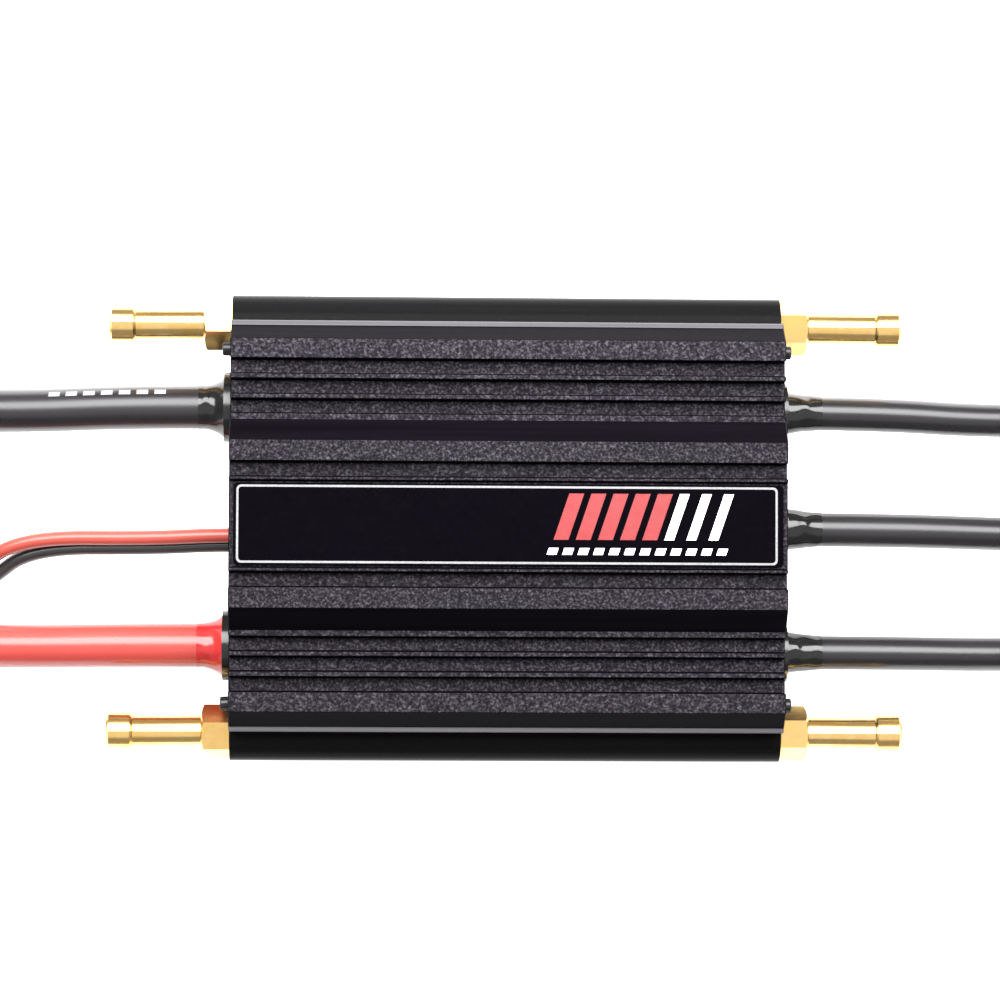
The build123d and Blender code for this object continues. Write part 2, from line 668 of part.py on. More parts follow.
battery_inner = -(board_edge + 5.0)
save("battery_conductors", group(
    conductor(-1, y, WIRE_Z, BATTERY_CONDUCTOR_R, battery_inner) for y in BATTERY_Y.values()))
motor_inner = PEDESTAL_X + PEDESTAL[0] / 2 + 2.0
save("motor_conductors", group(
    conductor(1, y, WIRE_Z, MOTOR_CONDUCTOR_R, motor_inner) for y in MOTOR_Y.values()))
save("lead_conductors", group(
    conductor(-1, y, z, LEAD_CONDUCTOR_R, -board_edge) for y, z in LEAD_YZ.values()))
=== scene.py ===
import math

import bmesh
import bpy
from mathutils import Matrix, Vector, noise


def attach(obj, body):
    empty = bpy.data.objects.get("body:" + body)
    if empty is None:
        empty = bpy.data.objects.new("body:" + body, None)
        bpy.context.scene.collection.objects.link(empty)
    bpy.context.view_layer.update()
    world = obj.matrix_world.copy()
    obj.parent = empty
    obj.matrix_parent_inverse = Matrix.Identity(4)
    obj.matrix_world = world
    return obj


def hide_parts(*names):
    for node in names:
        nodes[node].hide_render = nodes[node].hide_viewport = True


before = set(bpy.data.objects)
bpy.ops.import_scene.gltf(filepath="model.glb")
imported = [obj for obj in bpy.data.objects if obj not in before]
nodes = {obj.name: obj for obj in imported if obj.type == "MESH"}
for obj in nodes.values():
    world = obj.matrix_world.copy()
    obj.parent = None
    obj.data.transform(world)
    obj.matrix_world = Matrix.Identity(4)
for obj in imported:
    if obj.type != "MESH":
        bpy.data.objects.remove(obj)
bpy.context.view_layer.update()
scene = bpy.context.scene
MM = 0.001
WHITE = (1, 1, 1)
FULL = (1.0, 1.0, 1.0)

# Camera -----------------------------------------------------------------------------------------
camera_data = bpy.data.cameras.new("camera")
camera_data.sensor_width = 36
camera_data.lens = 132.1
camera_data.clip_start = 0.01
camera_data.clip_end = 20
camera = bpy.data.objects.new("camera", camera_data)
camera.location = (-0.01514, -0.01566, 0.39687)
camera.rotation_euler = (0.0479, -0.0376, 0.0040)
scene.collection.objects.link(camera)
scene.camera = camera


# Cords ------------------------------------------------------------------------------------------
CORD_STEPS = 12


def cord_curve(name, points, radius, node_names):
    """A wire on a smooth line led by the given corners, in millimetres."""
    data = bpy.data.curves.new(name, "CURVE")
    data.dimensions = "3D"
    data.resolution_u = CORD_STEPS
    data.bevel_depth = radius * MM
    data.bevel_resolution = CORD_STEPS
    data.use_fill_caps = True
    line = data.splines.new("NURBS")
    line.points.add(len(points) - 1)
    for point, place in zip(line.points, points):
        point.co = (place[0] * MM, place[1] * MM, place[2] * MM, 1)
    line.order_u = 3
    line.use_endpoint_u = True
    wire = bpy.data.objects.new(name, data)
    scene.collection.objects.link(wire)
    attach(wire, "root")
    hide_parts(*node_names)
    return wire


def line_of(points, steps):
    """Points along the same smooth line as a cord's curve, in millimetres."""
    corners = [Vector(p) for p in points]
    found = []
    last = len(corners) - 3
    for i in range(last + 1):
        a = corners[0] if i == 0 else (corners[i] + corners[i + 1]) / 2
        b = corners[i + 1]
        c = corners[-1] if i == last else (corners[i + 1] + corners[i + 2]) / 2
        for k in range(steps):
            t = k / steps
            found.append(a * (1 - t) ** 2 + b * 2 * t * (1 - t) + c * t * t)
    found.append(corners[-1])
    return found


# Every route is in millimetres, starts inside the case and leads outwards.
START = 26.9                       # how far from the middle the wires begin
WIRE_Z = 7.8                       # height of the thick wires where they leave the case
BATTERY_R = 2.3
MOTOR_R = 1.8
LEAD_R = 0.775
BATTERY_ROUTES = {
    "negative": [
        (-START, 12.75, WIRE_Z), (-38.5, 12.75, WIRE_Z), (-51, 12.3, 6.1), (-65, 12.6, 3.2),
        (-79, 12.95, 2.3), (-92, 12.6, 2.3), (-105, 12.6, 2.3),
    ],
    "positive": [
        (-START, -12.5, WIRE_Z), (-39, -12.5, WIRE_Z), (-52, -12.7, 5.9), (-66, -12.5, 3.0),
        (-80, -12.95, 2.3), (-93, -12.7, 2.3), (-105, -12.7, 2.3),
    ],
}
MOTOR_ROUTES = {
    "a": [
        (START, 12.5, WIRE_Z), (39.2, 12.5, WIRE_Z), (52, 11.9, 5.6), (66, 12.5, 2.3),
        (78, 13.2, 2.6), (88, 13.2, 2.6),
    ],
    "b": [
        (START, 0.1, WIRE_Z), (39.5, 0.1, WIRE_Z), (53, -0.15, 5.4), (67, -0.4, 2.2),
        (79, -0.2, 2.6), (89, -0.2, 2.6),
    ],
    "c": [
        (START, -13.0, WIRE_Z), (39.2, -13.0, WIRE_Z), (52.5, -13.15, 5.5), (66, -12.8, 2.3),
        (77.5, -12.95, 2.6), (87, -12.95, 2.6),
    ],
}
COIL_X = -70.0
INNER_R = 7.2                      # the two lanes of the coil
OUTER_R = 8.8
COIL_LOW = 1.175                   # height of the lowest turn's centre line
PITCH = 1.6                        # rise from one turn to the next
TURNS = 2
PER_TURN = 24
LEAD_IN = {
    "positive": [
        (-START, -0.85, 7.9), (-31, -0.85, 7.9), (-37.5, -1.2, 7.7), (-51, -1.1, 5.6),
        (-56.5, -4.2, 2.9), (-60, -INNER_R, COIL_LOW), (-64, -INNER_R, COIL_LOW),
    ],
    "negative": [
        (-START, -1.8, 6.63), (-31, -1.8, 6.63), (-37.5, -2.15, 6.4), (-50.3, -2.15, 4.3),
        (-55.2, -5.6, 1.6), (-59, -OUTER_R, COIL_LOW), (-64, -OUTER_R, COIL_LOW),
    ],
}
COIL_HIGH = COIL_LOW + TURNS * PITCH
PIN_Z = 1.25                       # height of the pins in the plug
LEAD_OUT = {
    "positive": [
        (-77, -OUTER_R, COIL_HIGH), (-81, -OUTER_R, COIL_HIGH), (-87, -8.54, PIN_Z),
        (-92, -8.54, PIN_Z),
    ],
    "negative": [
        (-77, -INNER_R, COIL_HIGH), (-81, -INNER_R, COIL_HIGH), (-87, -6.0, PIN_Z),
        (-92, -6.0, PIN_Z),
    ],
}
# Where along the two turns each wire climbs and changes lanes: start and end of each move.
LEAD_MOVES = {
    "positive": {"climb": (0.544, 0.725), "swap": (0.727, 0.851), "last": (1.45, 1.70)},
    "negative": {"climb": (0.789, 0.948), "swap": (0.605, 0.838), "last": (1.45, 1.70)},
}


def ease(value, start, end):
    """0 before start, 1 after end and a smooth rise between them."""
    share = min(1.0, max(0.0, (value - start) / (end - start)))
    return share * share * (3 - 2 * share)


def coil_points(sign):
    """The turns of one lead wire. It lies beside the other wire and trades lanes with it once."""
    moves = LEAD_MOVES[sign]
    begin, finish = (INNER_R, OUTER_R) if sign == "positive" else (OUTER_R, INNER_R)
    # The smooth line cuts its corners, so they stand a little further out than the line.
    grow = 1 / math.cos(math.pi / PER_TURN)
    points = []
    for i in range(TURNS * PER_TURN + 1):
        turn = i / PER_TURN
        radius = (begin + (finish - begin) * ease(turn, *moves["swap"])) * grow
        height = COIL_LOW + PITCH * (ease(turn, *moves["climb"]) + ease(turn, *moves["last"]))
        angle = -math.pi / 2 - turn * math.tau
        points.append((COIL_X + radius * math.cos(angle), radius * math.sin(angle), height))
    return points


battery_wires = {
    sign: cord_curve(f"battery_{sign}_lead", route, BATTERY_R, [f"battery_{sign}_wire"])
    for sign, route in BATTERY_ROUTES.items()
}
motor_wires = {
    phase: cord_curve(f"motor_{phase}_lead", route, MOTOR_R, [f"motor_{phase}_wire"])
    for phase, route in MOTOR_ROUTES.items()
}
lead_routes = {sign: LEAD_IN[sign] + coil_points(sign) + LEAD_OUT[sign] for sign in LEAD_IN}
lead_wires = {
    sign: cord_curve(
        f"servo_lead_{sign}", route, LEAD_R, [f"lead_{sign}_wire", "lead_coil"]
    )
    for sign, route in lead_routes.items()
}


# Material helpers -------------------------------------------------------------------------------
EVEN = (1, 1, 1)                   # no stretch of a pattern
MIX_A, MIX_B, MIX_RESULT = 6, 7, 2  # the colour sockets of a mix node


def grey(value):
    """A faintly blue grey."""
    return value, value, value * 1.06


class Paint:
    """A node material built up call by call."""

    def __init__(self, name):
        self.material = bpy.data.materials.new(name)
        self.material.use_nodes = True
        self.tree = self.material.node_tree
        self.tree.nodes.clear()
        self.output = self.add("ShaderNodeOutputMaterial")
        self.shader = self.add("ShaderNodeBsdfPrincipled")
        self.join(self.shader, "BSDF", self.output, "Surface")
        self.place = self.add("ShaderNodeTexCoord")

    def add(self, kind, **values):
        node = self.tree.nodes.new(kind)
        for key, value in values.items():
            setattr(node, key, value)
        return node

    def join(self, a, out, b, into):
        self.tree.links.new(a.outputs[out], b.inputs[into])

    def set(self, **values):
        for key, value in values.items():
            self.shader.inputs[key.replace("_", " ")].default_value = value

    def coords(self, stretch):
        mapping = self.add("ShaderNodeMapping")
        mapping.inputs["Scale"].default_value = stretch
        self.join(self.place, "Object", mapping, "Vector")
        return mapping

    def grain(self, scale, detail, rough, stretch=EVEN, distortion=0.0):
        node = self.add("ShaderNodeTexNoise")
        node.inputs["Scale"].default_value = scale
        node.inputs["Detail"].default_value = detail
        node.inputs["Roughness"].default_value = rough
        node.inputs["Distortion"].default_value = distortion
        self.join(self.coords(stretch), "Vector", node, "Vector")
        return node, "Fac"

    def cells(self, scale, stretch=EVEN):
        node = self.add("ShaderNodeTexVoronoi")
        node.inputs["Scale"].default_value = scale
        self.join(self.coords(stretch), "Vector", node, "Vector")
        return node, "Distance"

    def span(self, source, low, high, to_low, to_high):
        node = self.add("ShaderNodeMapRange")
        node.inputs["From Min"].default_value = low
        node.inputs["From Max"].default_value = high
        node.inputs["To Min"].default_value = to_low
        node.inputs["To Max"].default_value = to_high
        self.join(*source, node, "Value")
        return node, "Result"

    def math(self, operation, a, b):
        node = self.add("ShaderNodeMath", operation=operation)
        for index, value in enumerate((a, b)):
            if isinstance(value, tuple):
                self.join(*value, node, index)
            else:
                node.inputs[index].default_value = value
        return node, "Value"

    def ramp(self, source, stops):
        node = self.add("ShaderNodeValToRGB")
        elements = node.color_ramp.elements
        while len(elements) < len(stops):
            elements.new(0.5)
        for element, (position, colour) in zip(elements, stops):
            element.position = position
            element.color = (*colour, 1)
        self.join(*source, node, "Fac")
        return node, "Color"

    def mix(self, factor, a, b, blend="MIX"):
        node = self.add("ShaderNodeMix", data_type="RGBA", blend_type=blend)
        if isinstance(factor, tuple):
            self.join(*factor, node, 0)
        else:
            node.inputs[0].default_value = factor
        for index, value in ((MIX_A, a), (MIX_B, b)):
            if isinstance(value[0], (int, float)):
                node.inputs[index].default_value = (*value, 1)
            else:
                self.join(*value, node, index)
        return node, MIX_RESULT

    def feed(self, source, socket):
        self.join(*source, self.shader, socket)

    def bump(self, source, strength, depth_mm, under=None):
        node = self.add("ShaderNodeBump")
        if isinstance(strength, tuple):
            self.join(*strength, node, "Strength")
        else:
            node.inputs["Strength"].default_value = strength
        node.inputs["Distance"].default_value = depth_mm * MM
        self.join(*source, node, "Height")
        if under is not None:
            self.join(*under, node, "Normal")
        return node, "Normal"

    def facing_up(self):
        """How far the surface faces up, from -1 to 1."""
        geometry = self.add("ShaderNodeNewGeometry")
        split = self.add("ShaderNodeSeparateXYZ")
        self.join(geometry, "Normal", split, "Vector")
        return split, "Z"

    def along(self, axis):
        """The place along an axis, in metres."""
        split = self.add("ShaderNodeSeparateXYZ")
        self.join(self.place, "Object", split, "Vector")
        return split, axis


WEAR = 60.0                        # scale of the broad unevenness


def worked(name, dark, light, rough, scale, bump, stretch=EVEN, **values):
    """A surface with two tones of grain, uneven gloss and a fine relief."""
    paint = Paint(name)
    fine = paint.grain(scale, 4.0, 0.6, stretch)
    broad = paint.grain(WEAR, 3.0, 0.5)
    tone = paint.ramp(fine, [(0.32, dark), (0.68, light)])
    shade = paint.ramp(broad, [(0.3, (0.82,) * 3), (0.7, FULL)])
    paint.feed(paint.mix(1.0, tone, shade, "MULTIPLY"), "Base Color")
    gloss = paint.grain(scale * 0.31, 3.0, 0.6, stretch)
    paint.feed(paint.span(gloss, 0.3, 0.7, *rough), "Roughness")
    paint.feed(paint.bump(fine, bump[0], bump[1]), "Normal")
    paint.set(**values)
    return paint


LEDGE_Z = (0.01355, 0.01365, 0.01385, 0.01395)  # the painted highlight line on the ledges fades in and out over this, in m
LEDGE_Y = (0.02095, 0.0210)


def case_paint():
    """Blasted and anodised flats painted lighter where they face up, as painted light; walls and
    slopes painted near black, as painted shade; and a painted highlight line along the long edges.
    """
    paint = Paint("case_black")
    flat = paint.span(paint.facing_up(), 0.86, 0.97, 0.0, 1.0)
    grit = paint.grain(3600, 3.0, 0.62)
    coarse = paint.grain(1500, 3.0, 0.6)
    broad = paint.grain(45, 3.0, 0.5)
    # Painted light: this lighter grain tone goes only on up-facing faces, so the tops look lit
    # from above. The grain itself is the real blasting.
    blast_grain_and_top_light = paint.ramp(
        grit,
        [
            (0.36, (0.0072, 0.0059, 0.0081)), (0.52, (0.0178, 0.0157, 0.0195)),
            (0.72, (0.070, 0.064, 0.074)),
        ],
    )
    patch = paint.ramp(coarse, [(0.3, (0.55,) * 3), (0.68, FULL)])
    drift = paint.ramp(broad, [(0.3, (0.88,) * 3), (0.7, FULL)])
    blast_grain_and_top_light = paint.mix(1.0, paint.mix(1.0, blast_grain_and_top_light, patch, "MULTIPLY"), drift, "MULTIPLY")
    lines = paint.grain(900, 3.0, 0.6, (0.02, 1, 1))
    # Painted shade: walls and slopes get this near-black tone as if they were unlit.
    smooth = paint.ramp(
        lines, [(0.3, (0.0014, 0.0010, 0.0017)), (0.7, (0.0024, 0.0018, 0.0028))]
    )
    tone = paint.mix(flat, smooth, blast_grain_and_top_light)
    # Painted highlight: a bright, smooth line painted on the ledge along each long edge, where the
    # overhead light would glint.
    ledge_height = paint.math(
        "MULTIPLY",
        paint.span(paint.along("Z"), *LEDGE_Z[:2], 0.0, 1.0),
        paint.span(paint.along("Z"), *LEDGE_Z[2:], 1.0, 0.0),
    )
    side = paint.add("ShaderNodeMath", operation="ABSOLUTE")
    paint.join(*paint.along("Y"), side, 0)
    painted_highlight = paint.math(
        "MULTIPLY", ledge_height, paint.span((side, "Value"), *LEDGE_Y, 0.0, 1.0)
    )
    # The colour of the painted highlight line.
    highlight_colour = paint.ramp(lines, [(0.3, (0.050, 0.048, 0.052)), (0.7, (0.075, 0.072, 0.078))])
    paint.feed(paint.mix(painted_highlight, tone, highlight_colour), "Base Color")
    rough_flat = paint.span(grit, 0.3, 0.7, 0.62, 0.46)
    rough_smooth = paint.span(lines, 0.3, 0.7, 0.20, 0.30)
    difference = paint.math("SUBTRACT", rough_flat, rough_smooth)
    rough = paint.math("ADD", rough_smooth, paint.math("MULTIPLY", difference, flat))
    paint.feed(rough, "Roughness")
    blasted = paint.math("MULTIPLY", flat, paint.math("SUBTRACT", 1.0, painted_highlight))
    strength = paint.span(blasted, 0.0, 1.0, 0.04, 0.75)
    height = paint.math("ADD", grit, paint.math("MULTIPLY", coarse, 1.6))
    paint.feed(paint.bump(height, strength, 0.05), "Normal")
    paint.set(Specular_IOR_Level=0.012)
    return paint


def rail_paint():
    """Anodised extrusion: smooth, black and drawn along X."""
    paint = Paint("rail_black")
    lines = paint.grain(700, 4.0, 0.6, (0.015, 1, 1))
    dust = paint.grain(5200, 2.0, 0.6)
    broad = paint.grain(60, 3.0, 0.5)
    tone = paint.ramp(
        lines, [(0.3, (0.0028, 0.0027, 0.0029)), (0.7, (0.0042, 0.0041, 0.0043))]
    )
    speck = paint.ramp(dust, [(0.64, (0.0,) * 3), (0.82, (0.008,) * 3)])
    paint.feed(paint.mix(1.0, tone, speck, "ADD"), "Base Color")
    paint.feed(paint.span(broad, 0.3, 0.7, 0.16, 0.24), "Roughness")
    paint.feed(paint.bump(lines, 0.06, 0.02), "Normal")
    paint.set(Specular_IOR_Level=0.015)
    return paint


def brass_paint():
    """Turned brass, with rings round the axis and a little tarnish."""
    paint = Paint("brass")
    rings = paint.grain(1800, 3.0, 0.6, (1, 0.02, 0.02))
    tarnish = paint.grain(420, 4.0, 0.6)
    tone = paint.ramp(
        tarnish,
        [(0.30, (0.74, 0.46, 0.14)), (0.55, (0.80, 0.53, 0.20)), (0.75, (0.84, 0.59, 0.25))],
    )
    paint.feed(tone, "Base Color")
    paint.feed(paint.span(tarnish, 0.3, 0.7, 0.27, 0.19), "Roughness")
    paint.feed(
        paint.bump(tarnish, 0.05, 0.03, paint.bump(rings, 0.10, 0.01)), "Normal"
    )
    paint.set(Metallic=1.0)
    return paint


def board_paint():
    """Green solder mask, darker and lighter over the tracks below it."""
    paint = Paint("circuit_board")
    tracks = paint.cells(420, (1, 1, 0.2))
    weave = paint.grain(3000, 2.0, 0.6)
    mask = paint.ramp(
        tracks,
        [(0.20, (0.010, 0.075, 0.035)), (0.26, (0.018, 0.12, 0.05)), (0.9, (0.008, 0.06, 0.03))],
    )
    shade = paint.ramp(weave, [(0.3, (0.75,) * 3), (0.7, FULL)])
    paint.feed(paint.mix(1.0, mask, shade, "MULTIPLY"), "Base Color")
    paint.feed(paint.span(weave, 0.3, 0.7, 0.28, 0.42), "Roughness")
    paint.feed(paint.bump(tracks, 0.2, 0.03), "Normal")
    paint.set(Coat_Weight=0.4, Coat_Roughness=0.2)
    return paint


def fuzz_paint():
    """Woven hook-and-loop tape."""
    paint = Paint("tie_black")
    loops = paint.cells(3800)
    weave = paint.grain(5200, 3.0, 0.7)
    tone = paint.ramp(loops, [(0.1, (0.035, 0.035, 0.038)), (0.6, (0.010, 0.010, 0.011))])
    paint.feed(tone, "Base Color")
    paint.feed(paint.span(weave, 0.3, 0.7, 0.75, 0.95), "Roughness")
    paint.feed(paint.bump(loops, 0.9, 0.15), "Normal")
    paint.set(Sheen_Weight=0.6, Sheen_Roughness=0.4)
    return paint


def sealant_paint(name, dark, light):
    """Hand-laid adhesive: wet looking and uneven."""
    paint = Paint(name)
    lumps = paint.grain(700, 3.0, 0.5, distortion=0.4)
    specks = paint.grain(4200, 2.0, 0.6)
    paint.feed(paint.ramp(lumps, [(0.3, dark), (0.7, light)]), "Base Color")
    paint.feed(paint.span(specks, 0.3, 0.7, 0.13, 0.20), "Roughness")
    paint.feed(paint.bump(lumps, 0.12, 0.20), "Normal")
    return paint


def silicone_paint(name, dark, light):
    """Soft wire insulation: satin, faintly dusty, with long flow marks."""
    paint = Paint(name)
    flow = paint.grain(260, 3.0, 0.5, (0.06, 1, 1))
    dust = paint.grain(4600, 3.0, 0.7)
    paint.feed(
        paint.mix(
            paint.span(dust, 0.60, 0.78, 0.0, 0.35),
            paint.ramp(flow, [(0.3, dark), (0.7, light)]),
            tuple(min(1.0, c * 1.5 + 0.02) for c in light),
        ),
        "Base Color",
    )
    paint.feed(paint.span(flow, 0.3, 0.7, 0.25, 0.32), "Roughness")
    paint.feed(paint.bump(dust, 0.05, 0.02, paint.bump(flow, 0.06, 0.06)), "Normal")
    return paint


# The finish of every material slot.
paints = {
    "case_black": case_paint(),
    "rail_black": rail_paint(),
    "plate_black": worked(
        "plate_black", grey(0.010), grey(0.030), (0.34, 0.50), 3600, (0.35, 0.04)
    ),
    "screw_black": worked(
        "screw_black", grey(0.012), grey(0.030), (0.18, 0.32), 2600, (0.12, 0.02), Metallic=0.6
    ),
    "brass": brass_paint(),
    "seal_rubber": worked(
        "seal_rubber", grey(0.0025), grey(0.006), (0.14, 0.28), 2400, (0.10, 0.03)
    ),
    "label_film": worked(
        "label_film", (0.0008, 0.0005, 0.0013), (0.0012, 0.0008, 0.0018), (0.06, 0.11), 1400,
        (0.02, 0.01), Specular_IOR_Level=0.08,
    ),
    "sealant": sealant_paint("sealant", grey(0.0022), grey(0.0048)),
    "silicone_black": silicone_paint(
        "silicone_black", (0.0045, 0.0038, 0.0048), (0.0075, 0.0064, 0.0078)
    ),
    "silicone_red": silicone_paint(
        "silicone_red", (0.27, 0.030, 0.024), (0.32, 0.040, 0.033)
    ),
    "lead_red": silicone_paint("lead_red", (0.22, 0.030, 0.020), (0.27, 0.040, 0.028)),
    "lead_black": silicone_paint("lead_black", grey(0.009), grey(0.016)),
    "plug_black": worked(
        "plug_black", grey(0.010), grey(0.020), (0.32, 0.48), 1800, (0.20, 0.03)
    ),
    "tie_black": fuzz_paint(),
    "tinned_copper": worked(
        "tinned_copper", (0.55, 0.52, 0.48), (0.80, 0.77, 0.72), (0.20, 0.38), 1500,
        (0.20, 0.03), Metallic=1.0,
    ),
    "gold_plate": worked(
        "gold_plate", (0.92, 0.62, 0.22), (1.0, 0.76, 0.34), (0.12, 0.22), 1300, (0.05, 0.01),
        (1, 0.1, 0.1), Metallic=1.0,
    ),
    "heat_shrink": worked(
        "heat_shrink", grey(0.008), grey(0.016), (0.30, 0.44), 900, (0.15, 0.06)
    ),
    "circuit_board": board_paint(),
    "chip_black": worked(
        "chip_black", grey(0.012), grey(0.026), (0.40, 0.58), 3200, (0.25, 0.03)
    ),
    "capacitor_sleeve": worked(
        "capacitor_sleeve", (0.010, 0.010, 0.030), (0.016, 0.016, 0.045), (0.22, 0.34), 1200,
        (0.08, 0.03),
    ),
    "thermal_rubber": worked(
        "thermal_rubber", (0.20, 0.24, 0.30), (0.30, 0.34, 0.42), (0.60, 0.78), 2600,
        (0.30, 0.05),
    ),
    "copper": worked(
        "copper", (0.72, 0.30, 0.16), (0.90, 0.45, 0.27), (0.20, 0.36), 1700, (0.15, 0.03),
        Metallic=1.0,
    ),
    "board_plastic": worked(
        "board_plastic", grey(0.014), grey(0.026), (0.36, 0.52), 2000, (0.20, 0.03)
    ),
    "steel": worked(
        "steel", (0.42, 0.42, 0.43), (0.60, 0.60, 0.61), (0.20, 0.34), 2200, (0.12, 0.02),
        Metallic=1.0,
    ),
}
ink_white = worked(
    "ink_white", (0.70, 0.70, 0.72), (0.86, 0.86, 0.86), (0.28, 0.42), 4200, (0.10, 0.01)
)
ink_red = worked(
    "ink_red", (0.150, 0.0015, 0.0028), (0.190, 0.0028, 0.0044), (0.28, 0.42), 4200, (0.10, 0.01)
)
ink_grey = worked(
    "ink_grey", (0.13, 0.13, 0.135), (0.20, 0.20, 0.205), (0.40, 0.60), 3600, (0.15, 0.01)
)
red_sealant = sealant_paint("red_sealant", (0.24, 0.008, 0.010), (0.32, 0.018, 0.016))

# Every CAD node takes the finish of its own slots.
for node in nodes.values():
    for index, material in enumerate(node.data.materials):
        slot = material.name.split(".")[0]
        node.data.materials[index] = paints[slot].material


# Mesh helpers -----------------------------------------------------------------------------------
CREASE = math.radians(35)          # sharper corners than this stay crisp


def smooth(obj):
    """Round faces shade as round ones."""
    work = bmesh.new()
    work.from_mesh(obj.data)
    for face in work.faces:
        face.smooth = True
    for edge in work.edges:
        edge.smooth = len(edge.link_faces) == 2 and edge.calc_face_angle(0.0) < CREASE
    work.to_mesh(obj.data)
    work.free()


def piece(name, points, faces, slot, paint, *stands_for):
    """A mesh in millimetres as a named piece of the part."""
    data = bpy.data.meshes.new(name)
    data.from_pydata([tuple(c * MM for c in p) for p in points], [], faces)
    data.validate()
    data.update()
    data.materials.append(paint.material)
    obj = bpy.data.objects.new(name, data)
    scene.collection.objects.link(obj)
    work = bmesh.new()
    work.from_mesh(data)
    bmesh.ops.recalc_face_normals(work, faces=work.faces)
    work.to_mesh(data)
    work.free()
    smooth(obj)
    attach(obj, "root")
    if stands_for:
        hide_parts(*stands_for)
    return obj


def rings_mesh(rings, closed=False):
    """Faces that join rings of equal count; the ends are capped unless the rings meet."""
    count = len(rings[0])
    points = [p for ring in rings for p in ring]
    faces = []
    spans = len(rings) if closed else len(rings) - 1
    for i in range(spans):
        a, b = i * count, (i + 1) % len(rings) * count
        for k in range(count):
            n = (k + 1) % count
            faces.append((a + k, a + n, b + n, b + k))
    if not closed:
        faces.append(tuple(reversed(range(count))))
        faces.append(tuple(range(len(points) - count, len(points))))
    return points, faces


def lathe_ring(x, y, z, radius, count, wobble=None):
    """One ring round an axis along X."""
    ring = []
    for k in range(count):
        angle = k / count * math.tau
        reach = radius if wobble is None else radius + wobble(x, angle)
        ring.append((x, y + reach * math.cos(angle), z + reach * math.sin(angle)))
    return ring


def slab(outlines, low, high):
    """Flat plates standing between two heights, one for each outline in X and Y."""
    points, faces = [], []
    for outline in outlines:
        base, count = len(points), len(outline)
        points += [(x, y, low) for x, y in outline] + [(x, y, high) for x, y in outline]
        for k in range(count):
            n = (k + 1) % count
            faces.append((base + k, base + n, base + count + n, base + count + k))
        faces.append(tuple(base + k for k in reversed(range(count))))
        faces.append(tuple(base + count + k for k in range(count)))
    return points, faces


def rounded(x0, x1, y0, y1, radius, steps=6):
    """The corner points of a rectangle with rounded corners."""
    outline = []
    for cx, cy, start in (
        (x1 - radius, y1 - radius, 0), (x0 + radius, y1 - radius, 90),
        (x0 + radius, y0 + radius, 180), (x1 - radius, y0 + radius, 270),
    ):
        for k in range(steps + 1):
            angle = math.radians(start + 90 * k / steps)
            outline.append((cx + radius * math.cos(angle), cy + radius * math.sin(angle)))
    return outline


# Label ------------------------------------------------------------------------------------------
LABEL_TOP = 17.8
INK = 0.02                         # thickness of the print
INK_TOP = LABEL_TOP + INK
border_outer = rounded(-28.19, 27.89, -4.04, 4.04, 0.5)
border_inner = rounded(-27.97, 27.67, -3.82, 3.82, 0.33)
border_rings = [
    [(x, y, z) for x, y in outline]
    for outline, z in (
        (border_outer, LABEL_TOP), (border_outer, INK_TOP),
        (border_inner, INK_TOP), (border_inner, LABEL_TOP),
    )
]
piece("label_border", *rings_mesh(border_rings, closed=True), "label_film", ink_grey)


LEAN = 0.34
BAR_Y = (-1.5, 3.3)
TICK_Y = (-3.05, -2.35)
RED_WIDTH = 1.55
WHITE_WIDTH = 1.0


def slanted(x, width, low, high):
    """The outline of a leaning bar."""
    shift = (high - low) * LEAN
    return [(x, low), (x + width, low), (x + width + shift, high), (x + shift, high)]


red_bars = [slanted(4.6 + 2.3 * k, RED_WIDTH, *BAR_Y) for k in range(5)]
white_bars = [slanted(x, WHITE_WIDTH, *BAR_Y) for x in (16.1, 18.4, 20.7)]
ticks = [slanted(3.9 + 1.6 * k, WHITE_WIDTH, *TICK_Y) for k in range(12)]
for name, outlines, ink in (
    ("label_bars_red", red_bars, ink_red),
    ("label_bars_white", white_bars, ink_white),
    ("label_ticks", ticks, ink_white),
):
    piece(name, *slab(outlines, LABEL_TOP, INK_TOP), "label_film", ink)


# Sealant round the wires ------------------------------------------------------------------------
SEAL_X = 29.85                     # where the collars start
BATTERY_SEAL = (2.7, (3.25, 2.36, 2.6))
MOTOR_SEAL = (3.75, (2.25, 1.83, 1.5))
# The lump on each collar: distance along the wire, spread, turn in degrees and height.
BATTERY_LUMPS = {"negative": (1.9, 0.5, 72, 0.22), "positive": (1.7, 0.6, 108, 0.12)}
MOTOR_LUMPS = {"a": (1.9, 0.7, 72, 0.24), "b": (1.7, 0.6, 74, 0.22), "c": (0.9, 0.6, 74, 0.20)}


def sealant(name, node, outward, y, form, paint, lump):
    """A collar of adhesive that thins out along the wire, with one soft lump on top."""
    count, steps = 96, 40
    x0 = SEAL_X * outward
    length, (root, tail, power) = form
    centre, spread, turn, height = lump

    def wobble(x, angle):
        along = (x - x0) * outward
        place = Vector((x * 0.6, math.cos(angle) * 1.2, math.sin(angle) * 1.2 + y))
        fade = min(1.0, along * 3, (length - along) * 2)
        swing = math.remainder(angle - math.radians(turn), math.tau)
        rise = height * math.exp(-((along - centre) / spread) ** 2 - (swing / 0.42) ** 2)
        return 0.07 * fade * noise.noise(place) + rise

    rings = []
    for i in range(steps + 1):
        along = i / steps * length
        radius = tail + (root - tail) * (1 - i / steps) ** power
        rings.append(lathe_ring(x0 + outward * along, y, WIRE_Z, radius, count, wobble))
    # The last ring turns down into the wire.
    rings.append(lathe_ring(x0 + outward * (length - 0.02), y, WIRE_Z, tail - 0.25, count))
    piece(name, *rings_mesh(rings), "sealant", paint, node)


